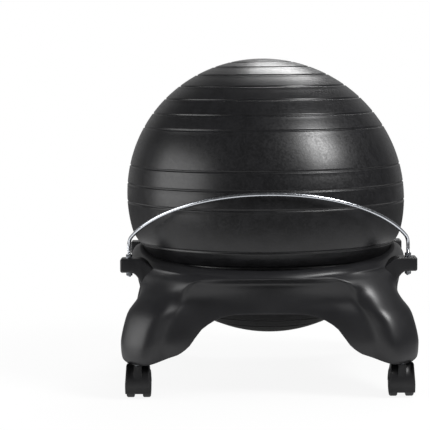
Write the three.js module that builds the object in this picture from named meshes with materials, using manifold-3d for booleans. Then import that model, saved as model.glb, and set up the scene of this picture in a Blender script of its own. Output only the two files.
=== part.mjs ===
// Balance ball chair without a backrest: an inflated stability ball resting in a hollow moulded base
// with four legs, a bent steel bar across the front of the ball and four twin-wheel casters.
// Millimetres, +Z up, front of the chair towards -Y, origin on the floor under the middle.
import * as THREE from "three";
import { mergeVertices } from "three/addons/utils/BufferGeometryUtils.js";
import Module from "manifold-3d";

const wasm = await Module();
wasm.setup();

// Clearance between neighbouring pieces, and the overrun of every cutting tool.
const gap = 0.3;
const overrun = 5;

// Ball: a thin skin, slightly flatter than a sphere, with moulded grip grooves round it.
const ball_radius = 260;
const ball_half_height = 256.7;
const ball_wall = 2;
const groove_width = 3;
const groove_depth = 1.2;
const middle_groove_deg = 6.1;
const groove_step_degs = [0, 7.5, 24.5, 31.5, 39.5, 47.5, 56, 64, 71];
const plug_latitude_deg = 22;
const plug_head_radius = 8;
const plug_head_height = 1.6;
const plug_stem_radius = 4.5;
const plug_stem_length = 14;

// Base: rim, ring-shaped body and four legs. The rim meets the ball below its middle, rises towards
// the sides and has a short hump at each side.
const rim_front_height = 226;
const rim_side_rise = 13;
const rim_hump_rise = 10;
const hump_sharpness = 10;
const seat_latitude_deg = 26.35;
const seat_band = 21;
const lip_width = 24;
const lip_overhang = 14;
const lip_drop = 10;
const crown_height = 150;
const leg_spread = 93;
const lip_step = 2;
const sole_width = 31.5;
const base_wall = 3.2;

// Lugs on the rim that hold the bar in front and stay free behind.
const lug_stand_out = 10;
const lug_angle_deg = 33.43;
const lug_depth = 36;
const lug_height = 25;
const lug_lift = 13.4;
const lug_edge = 3.5;

// Support bar: a bent round steel rod, with a nut and a washer on each side of its lug.
const rod_radius = 3.25;
const bar_edge_distance = 15.5;
const bar_post_height = 33;
const bar_bend = 12;
const bar_ball_clearance = 3.25;
const bar_apex_lift = 23.4;
const rod_end_length = 9;
const nut_flats = 10;
const nut_height = 5;
const washer_radius = 6.2;
const washer_height = 1.2;

// Casters: each stem stands in a sleeve pressed into a foot, with the wheels trailing behind it.
const caster_inset = 16;
const caster_trail = 17;
const wheel_radius = 25;
const wheel_width = 13.6;
const wheel_edge = 2.6;
const wheel_dish = 2.2;
const hub_radius = 7.5;
const axle_radius = 3;
const web_width = 14.8;
const web_floor_gap = 9.5;
const hood_width = 45.6;
const hood_wall = 2.2;
const hood_gap = 1.2;
const shoulder_reach = 9;
const shoulder_drop = 1.2;
const shoulder_end_deg = 62;
const boss_rise = 6.7;
const boss_radius = 7;
const stem_radius = 4;
const stem_rise = 28;
const stem_depth = 23;
const collar_radius = 6.5;
const collar_height = 1.6;
const sleeve_radius = 8;
const sleeve_rise = 30;
const flange_radius = 12;
const flange_height = 1.4;
const column_radius = 12.5;
const column_rise = 34;

// Foot brake on each rear caster.
const brake_width = 10;
const brake_thickness = 4.4;
const brake_length = 14;
const brake_pin_radius = 1.2;
const brake_back = 14;
const brake_rise = 18;
const brake_slot_depth = 10;

// Places that follow from the sizes above, from the floor up.
const hood_top = 2 * wheel_radius + hood_gap + hood_wall + boss_rise;
const collar_top = hood_top + gap + collar_height;
const flange_top = collar_top + gap + flange_height;
const sole_height = flange_top + gap;
const seat_radius = ball_radius * Math.cos(radians(seat_latitude_deg));
const ball_height = rim_front_height + ball_half_height * Math.sin(radians(seat_latitude_deg));
const rim_radius = seat_radius + lip_width;
const wall_radius = rim_radius - lip_overhang;
const bore_radius = seat_radius - seat_band;
const leg_reach = rim_radius + leg_spread;
const arch_half_span = leg_reach * Math.cos(Math.PI / 4) - sole_width;
const caster_offset = arch_half_span + caster_inset;
const lug_reach = rim_radius + lug_stand_out;
const lug_inner_reach = rim_radius * Math.cos(radians(lug_angle_deg));
const lug_offset = rim_radius * Math.sin(radians(lug_angle_deg));
const bar_half_span = lug_reach - bar_edge_distance;
const lug_top = rim_front_height + lug_lift;
const lug_bottom = lug_top - lug_height;
const bar_apex_height = ball_height + bar_apex_lift;
const bar_apex_reach = ball_radius + rod_radius + bar_ball_clearance;

// Stations up the panels and legs, from the sole to the rim. Each row holds the height as a share of
// the way from sole to rim, the leg's border with the panel along and across the leg as shares of the
// feet's reach, the directions of the panel and of the flank there in degrees from the leg's axis,
// and the leg's tip as a share of the reach.
const leg_station_shares = [
  [0, 0.862, 0.098, 36, 14, 0.962],
  [0.035, 0.88, 0.106, 35, 14, 0.985],
  [0.075, 0.888, 0.11, 35, 14, 0.994],
  [0.15, 0.894, 0.116, 34, 14, 1.003],
  [0.25, 0.898, 0.122, 33, 15, 1.006],
  [0.4, 0.876, 0.131, 37, 16, 0.99],
  [0.54, 0.838, 0.145, 42, 18, 0.957],
  [0.65, 0.79, 0.15, 46, 22, 0.92],
  [0.735, 0.75, 0.16, 50, 30, 0.882],
  [0.81, 0.711, 0.176, 54, 42, 0.845],
  [0.86, 0.69, 0.19, 57, 52, 0.82],
  [0.89, 0.682, 0.207, 60, 58, 0.802],
  [0.918, 0.684, 0.241, 67, 67, 0.785],
];
// Stations over the lip, from its outer bead to the seat: the drop below the rim as a share of the
// lip's drop, the radius as a share of the way from seat to rim, and how far the lip swells over
// each leg as a share of the same way.
const lip_station_shares = [
  [1, 1, 0.33],
  [0.55, 0.854, 0.12],
  [0.15, 0.604, 0.06],
  [-0.05, 0.29, 0],
  [0, -0.33, 0],
];
// Above these shares of the height the side walls rise with the rim and the panels flare to the lip.
const rise_start_share = 0.65;
const flare_start_share = 0.87;
const rise_end_share = 0.918;
// Underside of each arch: across as a share of its half span, up as a share of sole to crown.
const arch_shares = [
  [0, 1],
  [0.278, 0.99],
  [0.407, 0.92],
  [0.509, 0.784],
  [0.583, 0.625],
  [0.641, 0.398],
  [0.731, 0.216],
  [0.806, 0.148],
  [0.931, 0.045],
  [1, 0],
];
// Handles of the bar's curve: across as a share of its half span, up its slope as a share.
const bar_handle_shares = [
  [0.835, 0.552],
  [0.497, 1],
];
const panel_handle_share = 0.338;
const leg_handle_share = 0.37;
const lip_border_deg = 20.7;

// Counts of faces.
const ball_segments = 32;
const inner_ball_steps = 9;
const outer_faces = { outline: [4, 4], seat: 48, seat_steps: 3 };
const inner_faces = { outline: [4, 4], seat: 32, seat_steps: 2 };
const arch_curve_steps = 1;
const rod_sides = 8;
const rod_steps = 64;
const hole_segments = 12;
const wheel_segments = 16;
const pin_segments = 10;
const hood_steps = 5;

function material(hex, roughness, metalness) {
  return new THREE.MeshStandardMaterial({ color: hex, roughness, metalness });
}
const ball_skin_finish = () => material(0x3a3a3e, 0.42, 0);
const moulded_finish = () => material(0x26262a, 0.4, 0);
const zinc_finish = () => material(0xb9bcc0, 0.3, 1);
const hood_finish = () => material(0x1f1f22, 0.35, 0);
const wheel_finish = () => material(0x2a2a2c, 0.55, 0);
const plug_finish = () => material(0x303034, 0.5, 0);

function radians(degrees) {
  return THREE.MathUtils.degToRad(degrees);
}

// Solid from a closed geometry, and geometry from a solid.
function solid(geometry) {
  const bare = geometry.clone();
  bare.deleteAttribute("normal");
  bare.deleteAttribute("uv");
  const merged = mergeVertices(bare, 1e-4);
  const vertProperties = new Float32Array(merged.attributes.position.array);
  const triVerts = new Uint32Array(merged.index.array);
  return new wasm.Manifold(new wasm.Mesh({ numProp: 3, vertProperties, triVerts }));
}

function shape_of(manifold) {
  const mesh = manifold.getMesh();
  const geometry = new THREE.BufferGeometry();
  geometry.setAttribute("position", new THREE.BufferAttribute(mesh.vertProperties, 3));
  geometry.setIndex(new THREE.BufferAttribute(mesh.triVerts, 1));
  geometry.computeVertexNormals();
  return geometry;
}

// Lathe about +Z of a profile of [radius, height] points, listed from the bottom up on the outside.
function turned(profile, segments) {
  const points = profile.map(([radius, height]) => new THREE.Vector2(radius, height));
  const lathe = new THREE.LatheGeometry(points, segments);
  lathe.rotateX(Math.PI / 2);
  return lathe;
}

function turned_solid(profile, segments) {
  return solid(turned(profile, segments));
}

function rod_solid(radius, bottom, top, segments) {
  return turned_solid([[0, bottom], [radius, bottom], [radius, top], [0, top]], segments);
}

function sleeve_profile(inner, outer, bottom, top) {
  return [[inner, bottom], [outer, bottom], [outer, top], [inner, top], [inner, bottom]];
}

// Closed skin over a stack of rings, each a list of points that runs counter-clockwise from above.
function lofted(rings) {
  const count = rings[0].length;
  const positions = rings.flat().flatMap((point) => [point.x, point.y, point.z]);
  const index = [];
  for (let row = 0; row + 1 < rings.length; row += 1) {
    for (let i = 0; i < count; i += 1) {
      const a = row * count + i;
      const b = row * count + ((i + 1) % count);
      index.push(a, b, b + count, a, b + count, a + count);
    }
  }
  const caps = [[0, true], [rings.length - 1, false]];
  for (const [row, faces_down] of caps) {
    const middle = positions.length / 3;
    const mean = rings[row].reduce((sum, point) => sum + point.z, 0) / count;
    positions.push(0, 0, mean);
    for (let i = 0; i < count; i += 1) {
      const a = row * count + i;
      const b = row * count + ((i + 1) % count);
      index.push(...(faces_down ? [middle, b, a] : [middle, a, b]));
    }
  }
  const geometry = new THREE.BufferGeometry();
  geometry.setAttribute("position", new THREE.Float32BufferAttribute(positions, 3));
  geometry.setIndex(index);
  return solid(geometry);
}

// Direction in plan, turned from the leg's axis towards its own side of the tip.
function heading(degrees) {
  return new THREE.Vector2(Math.cos(radians(degrees)), -Math.sin(radians(degrees)));
}

// Half of one leg's outline in plan, from the middle of a panel over the leg's border to its tip.
// Along the leg is x, across it y.
function half_outline(plan, counts) {
  const start = heading(-45).multiplyScalar(plan.wall);
  const border = new THREE.Vector2(plan.along, plan.across);
  const tip = new THREE.Vector2(plan.tip, 0);
  const panel_handle = panel_handle_share * start.distanceTo(border);
  const leg_handle = leg_handle_share * border.distanceTo(tip);
  const panel = new THREE.CubicBezierCurve(
    start,
    start.clone().addScaledVector(heading(45), panel_handle),
    border.clone().addScaledVector(heading(plan.panel_deg), -panel_handle),
    border,
  );
  const leg = new THREE.CubicBezierCurve(
    border,
    border.clone().addScaledVector(heading(plan.leg_deg), leg_handle),
    tip.clone().addScaledVector(heading(90), -leg_handle),
    tip,
  );
  const [panel_count, leg_count] = counts;
  return [...panel.getPoints(panel_count).slice(0, -1), ...leg.getPoints(leg_count)];
}

// Full outline of one station, as points whose height follows the rim's rise at the sides.
function station_ring(plan, counts) {
  const half = half_outline(plan, counts);
  const other = half.slice(0, -1).reverse().slice(0, -1);
  const ring = [];
  for (let quarter = 0; quarter < 4; quarter += 1) {
    const angle = -Math.PI / 4 + (quarter * Math.PI) / 2;
    const around = [
      ...half.map((point) => new THREE.Vector2(point.x, -point.y)),
      ...other.map((point) => point.clone()),
    ];
    for (const point of around) {
      point.rotateAround(new THREE.Vector2(0, 0), angle);
      const side = point.x ** 2 / point.lengthSq();
      const height = plan.height + plan.rise * side + plan.hump * side ** hump_sharpness;
      ring.push(new THREE.Vector3(point.x, point.y, height));
    }
  }
  return ring;
}

function leg_plan(row, inset) {
  const [height_share, along_share, across_share, panel_deg, leg_deg, tip_share] = row;
  const low = sole_height + inset;
  const rise_share = (height_share - rise_start_share) / (rise_end_share - rise_start_share);
  const flare_share = THREE.MathUtils.smoothstep(height_share, flare_start_share, rise_end_share);
  return {
    height: low + height_share * (rim_front_height - low),
    wall: THREE.MathUtils.lerp(wall_radius, rim_radius - lip_step, flare_share) - inset,
    along: along_share * leg_reach - inset,
    across: across_share * leg_reach - inset,
    panel_deg,
    leg_deg,
    tip: tip_share * leg_reach - inset,
    rise: rim_side_rise * THREE.MathUtils.clamp(rise_share, 0, 1),
    hump: 0,
  };
}

function lip_plan(row, inset) {
  const [drop_share, radius_share, swell_share] = row;
  const hump_share = THREE.MathUtils.clamp(1 - drop_share, 0, 1);
  const lip_width = rim_radius - seat_radius;
  const radius = seat_radius + radius_share * lip_width - inset;
  return {
    height: rim_front_height - inset - drop_share * (lip_drop - inset),
    wall: radius,
    along: radius * Math.cos(radians(lip_border_deg)),
    across: radius * Math.sin(radians(lip_border_deg)),
    panel_deg: 90 - lip_border_deg,
    leg_deg: 90 - lip_border_deg,
    tip: radius + swell_share * lip_width,
    rise: rim_side_rise,
    hump: rim_hump_rise * hump_share,
  };
}

// Space kept free for the ball, and the round opening under it.
function ball_space(inset, faces) {
  const up = ball_half_height + gap + inset;
  const bore = bore_radius + inset;
  const top = rim_front_height + rim_side_rise + rim_hump_rise + overrun;
  const start = -Math.acos(bore / (ball_radius + gap + inset));
  const end = Math.asin((top - ball_height) / up);
  const flats = Math.cos(Math.PI / faces.seat) * Math.cos((end - start) / faces.seat_steps / 2);
  const across = (ball_radius + gap + inset) / flats;
  const profile = [[0, sole_height - overrun], [bore, sole_height - overrun]];
  for (let i = 0; i <= faces.seat_steps; i += 1) {
    const angle = THREE.MathUtils.lerp(start, end, i / faces.seat_steps);
    profile.push([across * Math.cos(angle), ball_height + up * Math.sin(angle)]);
  }
  profile.push([0, top]);
  return turned_solid(profile, faces.seat);
}

// Passage between the feet, under the ball, straight through from one side to the other.
function arch_space(inset, turn) {
  const half = arch_shares.map(([across_share, up_share]) => {
    const across = across_share * (arch_half_span + inset);
    return [across, sole_height + inset + up_share * (crown_height - sole_height)];
  });
  const mirrored = half.slice(1).reverse().map(([across, up]) => [-across, up]);
  const points = [...mirrored, ...half].map(([across, up]) => new THREE.Vector2(across, up));
  const floor = sole_height - overrun;
  const outline = new THREE.Shape();
  outline.moveTo(points[0].x, floor);
  outline.lineTo(points[0].x, points[0].y);
  outline.splineThru(points.slice(1));
  outline.lineTo(points.at(-1).x, floor);
  outline.closePath();
  const length = 2 * (leg_reach + overrun);
  const options = { depth: length, bevelEnabled: false, curveSegments: arch_curve_steps };
  const prism = new THREE.ExtrudeGeometry(outline, options);
  prism.translate(0, 0, -length / 2);
  prism.rotateX(Math.PI / 2);
  prism.rotateZ(turn);
  return solid(prism);
}

// Everything inside the base's outer surface, moved inwards by the inset.
function base_block(inset, faces) {
  const plans = [
    ...leg_station_shares.map((row) => leg_plan(row, inset)),
    ...lip_station_shares.map((row) => lip_plan(row, inset)),
  ];
  return lofted(plans.map((plan) => station_ring(plan, faces.outline)))
    .subtract(ball_space(inset, faces))
    .subtract(arch_space(inset, 0))
    .subtract(arch_space(inset, Math.PI / 2));
}

// A rounded tab that stands out sideways from the rim.
function lug(side, end) {
  const outline = new THREE.Shape();
  const inner = lug_inner_reach;
  const outer = lug_reach - lug_edge;
  outline.moveTo(inner, lug_bottom + lug_edge);
  outline.lineTo(outer, lug_bottom + lug_edge);
  outline.lineTo(outer, lug_top - lug_edge);
  outline.lineTo(inner, lug_top - lug_edge);
  outline.closePath();
  const body = new THREE.ExtrudeGeometry(outline, {
    depth: lug_depth - 2 * lug_edge,
    bevelEnabled: true,
    bevelSegments: 1,
    bevelThickness: lug_edge,
    bevelSize: lug_edge,
    steps: 1,
  });
  body.translate(0, 0, lug_edge - lug_depth / 2);
  body.rotateX(Math.PI / 2);
  body.rotateZ(side > 0 ? 0 : Math.PI);
  body.translate(0, end * lug_offset, 0);
  return solid(body);
}

function rod_hole(side) {
  const cutter = rod_solid(rod_radius + 2 * gap, lug_bottom - overrun, lug_top + overrun, hole_segments);
  return cutter.translate([side * bar_half_span, -lug_offset, 0]);
}

// Solid column inside a foot round the caster's sleeve, with the sleeve's hole through it.
function foot_column(x, y) {
  return rod_solid(column_radius, sole_height, sole_height + column_rise, hole_segments)
    .translate([x, y, 0]);
}

function foot_hole(x, y) {
  const top = sole_height + column_rise + overrun;
  return rod_solid(sleeve_radius + gap, sole_height - overrun, top, hole_segments)
    .translate([x, y, 0]);
}

const corners = [
  ["front_left", -1, -1],
  ["front_right", 1, -1],
  ["rear_left", -1, 1],
  ["rear_right", 1, 1],
];

function base_shell() {
  let shell = base_block(0, outer_faces).subtract(base_block(base_wall, inner_faces));
  for (const [, side, end] of corners) {
    const place = [side * caster_offset, end * caster_offset];
    shell = shell.add(lug(side, end));
    shell = shell.add(foot_column(...place)).subtract(foot_hole(...place));
  }
  return shape_of(shell.subtract(rod_hole(-1)).subtract(rod_hole(1)));
}

// Place on the ball's outline at a latitude, moved inwards by a depth.
function ball_point(latitude_deg, depth) {
  const angle = radians(latitude_deg);
  return [(ball_radius - depth) * Math.cos(angle), (ball_half_height - depth) * Math.sin(angle)];
}

function groove_latitudes() {
  const below = groove_step_degs.slice(1).reverse().map((step) => -step);
  return [...below, ...groove_step_degs].map((step) => middle_groove_deg + step);
}

// Ball outline from pole to pole, dipping at every groove, with extra points on the wide bands.
function ball_profile() {
  const half_groove_deg = THREE.MathUtils.radToDeg(groove_width / 2 / ball_radius);
  const widest_step_deg = 12;
  const profile = [[0, -ball_half_height]];
  let last = -90;
  const fill_to = (latitude) => {
    const steps = Math.ceil((latitude - last) / widest_step_deg);
    for (let i = 1; i < steps; i += 1) {
      profile.push(ball_point(last + ((latitude - last) * i) / steps, 0));
    }
    last = latitude;
  };
  for (const latitude of groove_latitudes()) {
    fill_to(latitude - half_groove_deg);
    profile.push(ball_point(latitude - half_groove_deg, 0));
    profile.push(ball_point(latitude, groove_depth));
    profile.push(ball_point(latitude + half_groove_deg, 0));
    last = latitude + half_groove_deg;
  }
  fill_to(90);
  profile.push([0, ball_half_height]);
  return profile;
}

function inner_ball_profile() {
  const profile = [];
  for (let i = 0; i <= inner_ball_steps; i += 1) {
    const latitude_deg = -90 + (180 * i) / inner_ball_steps;
    profile.push(ball_point(latitude_deg, ball_wall));
  }
  profile[0][0] = 0;
  profile[inner_ball_steps][0] = 0;
  return profile;
}

// Turns a piece that lies along +Z to the plug's direction, out of the back of the ball.
function to_plug_place(manifold) {
  const [back, up] = ball_point(plug_latitude_deg, 0);
  return manifold.rotate([plug_latitude_deg - 90, 0, 0]).translate([0, back, up]);
}

function ball_skin() {
  const outer = turned_solid(ball_profile(), ball_segments);
  const inner = turned_solid(inner_ball_profile(), ball_segments);
  const reach = plug_stem_length + overrun;
  const hole = rod_solid(plug_stem_radius + gap, -reach, reach, hole_segments);
  return shape_of(outer.subtract(inner).subtract(to_plug_place(hole)));
}

function ball_plug() {
  const stem = rod_solid(plug_stem_radius, -plug_stem_length, 2 * gap, hole_segments);
  const head = rod_solid(plug_head_radius, gap, gap + plug_head_height, hole_segments);
  return shape_of(to_plug_place(stem.add(head)));
}

// The bar's centre line: a post up from each lug, a tight bend, and a leaning arch over the front.
function bar_path() {
  const bend_height = lug_top + bar_post_height;
  const foot = new THREE.Vector3(bar_half_span, -lug_offset, lug_bottom - rod_end_length);
  const knee = new THREE.Vector3(bar_half_span, -lug_offset, bend_height);
  const across = new THREE.Vector3(-bar_half_span, 0, 0);
  const slope = new THREE.Vector3(0, lug_offset - bar_apex_reach, bar_apex_height - bend_height);
  const on_arch = ([span_share, slope_share]) =>
    knee.clone().addScaledVector(across, 1 - span_share).addScaledVector(slope, slope_share);
  const handles = bar_handle_shares.map(on_arch);
  const apex = on_arch([0, 1]);
  const away = handles[0].clone().sub(knee).setLength(bar_bend).add(knee);
  const below = knee.clone().sub(new THREE.Vector3(0, 0, bar_bend));
  const mirror = (point) => new THREE.Vector3(-point.x, point.y, point.z);
  const half = [
    new THREE.LineCurve3(foot, below),
    new THREE.QuadraticBezierCurve3(below, knee, away),
    new THREE.CubicBezierCurve3(away, handles[0], handles[1], apex),
  ];
  const other = [
    new THREE.CubicBezierCurve3(apex, mirror(handles[1]), mirror(handles[0]), mirror(away)),
    new THREE.QuadraticBezierCurve3(mirror(away), mirror(knee), mirror(below)),
    new THREE.LineCurve3(mirror(below), mirror(foot)),
  ];
  const path = new THREE.CurvePath();
  [...half, ...other].forEach((curve) => path.add(curve));
  return path;
}

function support_bar() {
  const section = new THREE.Shape();
  for (let i = 0; i < rod_sides; i += 1) {
    const angle = (2 * Math.PI * i) / rod_sides;
    const point = [rod_radius * Math.cos(angle), rod_radius * Math.sin(angle)];
    if (i === 0) section.moveTo(...point);
    else section.lineTo(...point);
  }
  section.closePath();
  const options = { steps: rod_steps, bevelEnabled: false, extrudePath: bar_path() };
  return new THREE.ExtrudeGeometry(section, options);
}

function washer(bottom) {
  const hole = rod_radius + 2 * gap;
  return turned(sleeve_profile(hole, washer_radius, bottom, bottom + washer_height), hole_segments);
}

function nut(bottom) {
  const outline = new THREE.Shape();
  for (let i = 0; i < 6; i += 1) {
    const angle = (Math.PI * i) / 3;
    const corner = nut_flats / Math.sqrt(3);
    const point = [corner * Math.cos(angle), corner * Math.sin(angle)];
    if (i === 0) outline.moveTo(...point);
    else outline.lineTo(...point);
  }
  outline.closePath();
  const hole = new THREE.Path();
  hole.absarc(0, 0, rod_radius + 2 * gap, 0, 2 * Math.PI, true);
  outline.holes.push(hole);
  const options = { depth: nut_height, bevelEnabled: false, curveSegments: hole_segments };
  const geometry = new THREE.ExtrudeGeometry(outline, options);
  geometry.translate(0, 0, bottom);
  return geometry;
}

function named(name, geometry, finish) {
  const mesh = new THREE.Mesh(geometry, finish());
  mesh.name = name;
  return mesh;
}

function bar_fasteners(side_name, side) {
  const group = new THREE.Group();
  const stack = gap + washer_height + gap;
  group.add(
    named(`bar_upper_washer_${side_name}`, washer(lug_top + gap), zinc_finish),
    named(`bar_upper_nut_${side_name}`, nut(lug_top + stack), zinc_finish),
    named(`bar_lower_washer_${side_name}`, washer(lug_bottom - gap - washer_height), zinc_finish),
    named(`bar_lower_nut_${side_name}`, nut(lug_bottom - stack - nut_height), zinc_finish),
  );
  group.position.set(side * bar_half_span, -lug_offset, 0);
  return group;
}

// Caster pieces, each drawn with the stem on the Z axis and the wheels trailing towards +Y.
function caster_sleeve() {
  const hole = stem_radius + gap;
  const top = sole_height + sleeve_rise;
  return turned(
    [
      [hole, flange_top - flange_height],
      [flange_radius, flange_top - flange_height],
      [flange_radius, flange_top],
      [sleeve_radius, flange_top],
      [sleeve_radius, top],
      [hole, top],
      [hole, flange_top - flange_height],
    ],
    hole_segments,
  );
}

function caster_stem() {
  const collar_bottom = collar_top - collar_height;
  return turned(
    [
      [0, hood_top - stem_depth],
      [stem_radius, hood_top - stem_depth],
      [stem_radius, collar_bottom],
      [collar_radius, collar_bottom],
      [collar_radius, collar_top],
      [stem_radius, collar_top],
      [stem_radius, sole_height + stem_rise],
      [0, sole_height + stem_rise],
    ],
    pin_segments,
  );
}

// Prism across the caster, from an outline of [back, up] points, centred on the stem.
function across_caster(points, width) {
  const outline = new THREE.Shape(points.map(([back, up]) => new THREE.Vector2(back, up)));
  const prism = new THREE.ExtrudeGeometry(outline, { depth: width, bevelEnabled: false });
  prism.translate(0, 0, -width / 2);
  prism.rotateX(Math.PI / 2);
  prism.rotateZ(Math.PI / 2);
  return solid(prism);
}

function arc_points(radius, start, end, steps) {
  const points = [];
  for (let i = 0; i <= steps; i += 1) {
    const angle = THREE.MathUtils.lerp(start, end, i / steps);
    points.push([
      caster_trail + radius * Math.cos(angle),
      wheel_radius + radius * Math.sin(angle),
    ]);
  }
  return points;
}

// A round pin or hole across the caster.
function cross_rod(radius, back, up, width, segments) {
  const pin = new THREE.CylinderGeometry(radius, radius, width, segments);
  pin.rotateZ(Math.PI / 2);
  pin.translate(0, back, up);
  return pin;
}

function brake_slot() {
  const half_gap = 1.5 * gap;
  const start = caster_trail + brake_back - brake_thickness / 2 - 2 * gap;
  const end = caster_trail + wheel_radius + hood_gap + hood_wall + overrun;
  const floor = wheel_radius + brake_rise - brake_slot_depth;
  const top = hood_top + overrun;
  const points = [[start, floor], [end, floor], [end, top], [start, top]];
  return across_caster(points, brake_width + 2 * half_gap);
}

function caster_hood(has_brake) {
  const inner = wheel_radius + hood_gap;
  const outer = inner + hood_wall;
  const front_dip = Math.asin((wheel_radius - web_floor_gap) / outer);
  const front = Math.PI + front_dip;
  const rear = -radians(6);
  const shoulder = hood_top - shoulder_drop;
  const shell = across_caster(
    [
      ...arc_points(outer, rear, radians(shoulder_end_deg), hood_steps),
      [shoulder_reach, shoulder],
      [-shoulder_reach, shoulder],
      ...arc_points(outer, Math.PI, front, 2),
      ...arc_points(inner, front, rear, 2 * hood_steps),
    ],
    hood_width,
  );
  const web = across_caster(arc_points(outer, -front_dip, front, 2 * hood_steps), web_width);
  const boss = rod_solid(boss_radius, wheel_radius + hood_wall, hood_top, hole_segments);
  const bore_bottom = hood_top - stem_depth - gap;
  const stem_bore = rod_solid(stem_radius + gap, bore_bottom, hood_top + overrun, pin_segments);
  const axle_bore = cross_rod(axle_radius + gap, caster_trail, wheel_radius, hood_width, pin_segments);
  let hood = shell.add(web).add(boss).subtract(stem_bore).subtract(solid(axle_bore));
  if (has_brake) {
    const pin_bore = cross_rod(
      brake_pin_radius + gap,
      caster_trail + brake_back,
      wheel_radius + brake_rise,
      web_width + gap,
      pin_segments,
    );
    hood = hood.subtract(brake_slot()).subtract(solid(pin_bore));
  }
  return shape_of(hood);
}

function caster_wheel(side) {
  const start = web_width / 2 + gap;
  const end = start + wheel_width;
  const bore = axle_radius + gap;
  const tread = wheel_radius;
  const profile = [
    [bore, start],
    [tread, start],
    [tread, end - wheel_edge],
    [tread - wheel_edge, end],
    [hub_radius + wheel_dish, end - wheel_dish],
    [hub_radius, end],
    [bore, end],
    [bore, start],
  ];
  const wheel = turned(profile, wheel_segments);
  wheel.rotateY((side * Math.PI) / 2);
  wheel.translate(0, caster_trail, wheel_radius);
  return wheel;
}

function caster_axle() {
  const length = web_width + 2 * (gap + wheel_width);
  return cross_rod(axle_radius, caster_trail, wheel_radius, length, pin_segments);
}

// Pedal that swings down behind the hood, round a small cross pin.
function brake_lever() {
  const back = caster_trail + brake_back;
  const up = wheel_radius + brake_rise;
  const half = brake_thickness / 2;
  const points = [
    [back - half, up - half / 2],
    [back, up - half],
    [back + brake_length, up - half],
    [back + brake_length + half, up],
    [back + brake_length, up + half / 2],
    [back + half, up + half],
    [back - half / 2, up + half],
    [back - half, up + half / 2],
  ];
  const bore = cross_rod(brake_pin_radius + gap, back, up, 2 * brake_width, pin_segments);
  return shape_of(across_caster(points, brake_width).subtract(solid(bore)));
}

function brake_pin() {
  const back = caster_trail + brake_back;
  const up = wheel_radius + brake_rise;
  return cross_rod(brake_pin_radius, back, up, web_width - 2 * gap, pin_segments);
}

function caster(name, side, end) {
  const group = new THREE.Group();
  const has_brake = end > 0;
  group.add(
    named(`${name}_caster_sleeve`, caster_sleeve(), hood_finish),
    named(`${name}_caster_stem`, caster_stem(), zinc_finish),
    named(`${name}_caster_hood`, caster_hood(has_brake), hood_finish),
    named(`${name}_caster_axle`, caster_axle(), zinc_finish),
    named(`${name}_wheel_left`, caster_wheel(-1), wheel_finish),
    named(`${name}_wheel_right`, caster_wheel(1), wheel_finish),
  );
  if (has_brake) {
    group.add(
      named(`${name}_brake_lever`, brake_lever(), wheel_finish),
      named(`${name}_brake_pin`, brake_pin(), zinc_finish),
    );
  }
  group.position.set(side * caster_offset, end * caster_offset, 0);
  return group;
}

function ball() {
  const group = new THREE.Group();
  group.add(
    named("ball_skin", ball_skin(), ball_skin_finish),
    named("ball_plug", ball_plug(), plug_finish),
  );
  group.position.set(0, 0, ball_height);
  return group;
}

const chair = new THREE.Group();
chair.add(named("base_shell", base_shell(), moulded_finish));
chair.add(named("support_bar", support_bar(), zinc_finish));
chair.add(bar_fasteners("left", -1), bar_fasteners("right", 1));
chair.add(ball());
corners.forEach(([name, side, end]) => chair.add(caster(name, side, end)));

export default chair;
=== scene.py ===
"""Balance ball chair without a backrest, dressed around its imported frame.

An inflated ball with grip grooves rests in a hollow black base with four legs. A bent zinc bar crosses
the front of the ball, and each foot stands on a twin-wheel caster. Lengths are in metres, +Z is up and
the front of the chair looks towards -Y.
"""
import math

import bmesh
import bpy
from mathutils import Matrix, Vector
from mathutils.geometry import interpolate_bezier


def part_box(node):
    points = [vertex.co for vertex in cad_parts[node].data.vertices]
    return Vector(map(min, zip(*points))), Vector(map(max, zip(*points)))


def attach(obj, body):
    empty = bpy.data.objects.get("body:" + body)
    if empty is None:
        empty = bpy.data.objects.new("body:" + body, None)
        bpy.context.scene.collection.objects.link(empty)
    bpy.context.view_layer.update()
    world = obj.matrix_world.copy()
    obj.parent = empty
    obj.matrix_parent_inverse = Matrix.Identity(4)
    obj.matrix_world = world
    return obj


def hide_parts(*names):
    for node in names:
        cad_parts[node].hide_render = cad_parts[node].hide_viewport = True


bl_info = {
    "name": "Balance ball chair",
    "version": (1, 0, 0),
    "blender": (4, 5, 0),
    "location": "3D View > Sidebar > Ball Chair",
    "description": "Makes the ball, base, bar and casters of a balance ball chair, and a plain studio",
    "category": "Object",
}

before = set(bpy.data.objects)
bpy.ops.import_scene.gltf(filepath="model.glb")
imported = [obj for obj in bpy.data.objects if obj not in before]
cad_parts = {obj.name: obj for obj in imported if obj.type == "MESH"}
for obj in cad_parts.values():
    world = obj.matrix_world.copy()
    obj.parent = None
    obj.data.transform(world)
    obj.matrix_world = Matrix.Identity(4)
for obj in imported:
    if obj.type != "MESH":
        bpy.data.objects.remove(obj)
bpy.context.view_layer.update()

MM = 0.001
UP = Vector((0, 0, 1))
SIDES = ("left", "right")
CORNERS = ("front_left", "front_right", "rear_left", "rear_right")


def middle(node):
    """Middle of a frame node's box."""
    low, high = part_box(node)
    return (low + high) / 2


def size(node):
    """Width, depth and height of a frame node's box."""
    low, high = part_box(node)
    return high - low


# Places that the frame fixes.
BALL_MIDDLE = middle("ball_skin")
BALL_RADIUS = size("ball_skin").x / 2
BALL_HALF_HEIGHT = size("ball_skin").z / 2
SOLE_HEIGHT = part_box("base_shell")[0].z
# The rim of each sole hangs this much lower, round the flange of the caster's sleeve.
SOLE_RIM = 1.5 * MM
LUG_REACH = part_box("base_shell")[1].x
BAR_POST = middle("bar_upper_nut_right")
# Each washer lies this far off its lug.
WASHER_GAP = 0.3 * MM
LUG_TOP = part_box("bar_upper_washer_right")[0].z - WASHER_GAP
LUG_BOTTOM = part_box("bar_lower_washer_right")[1].z + WASHER_GAP

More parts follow.
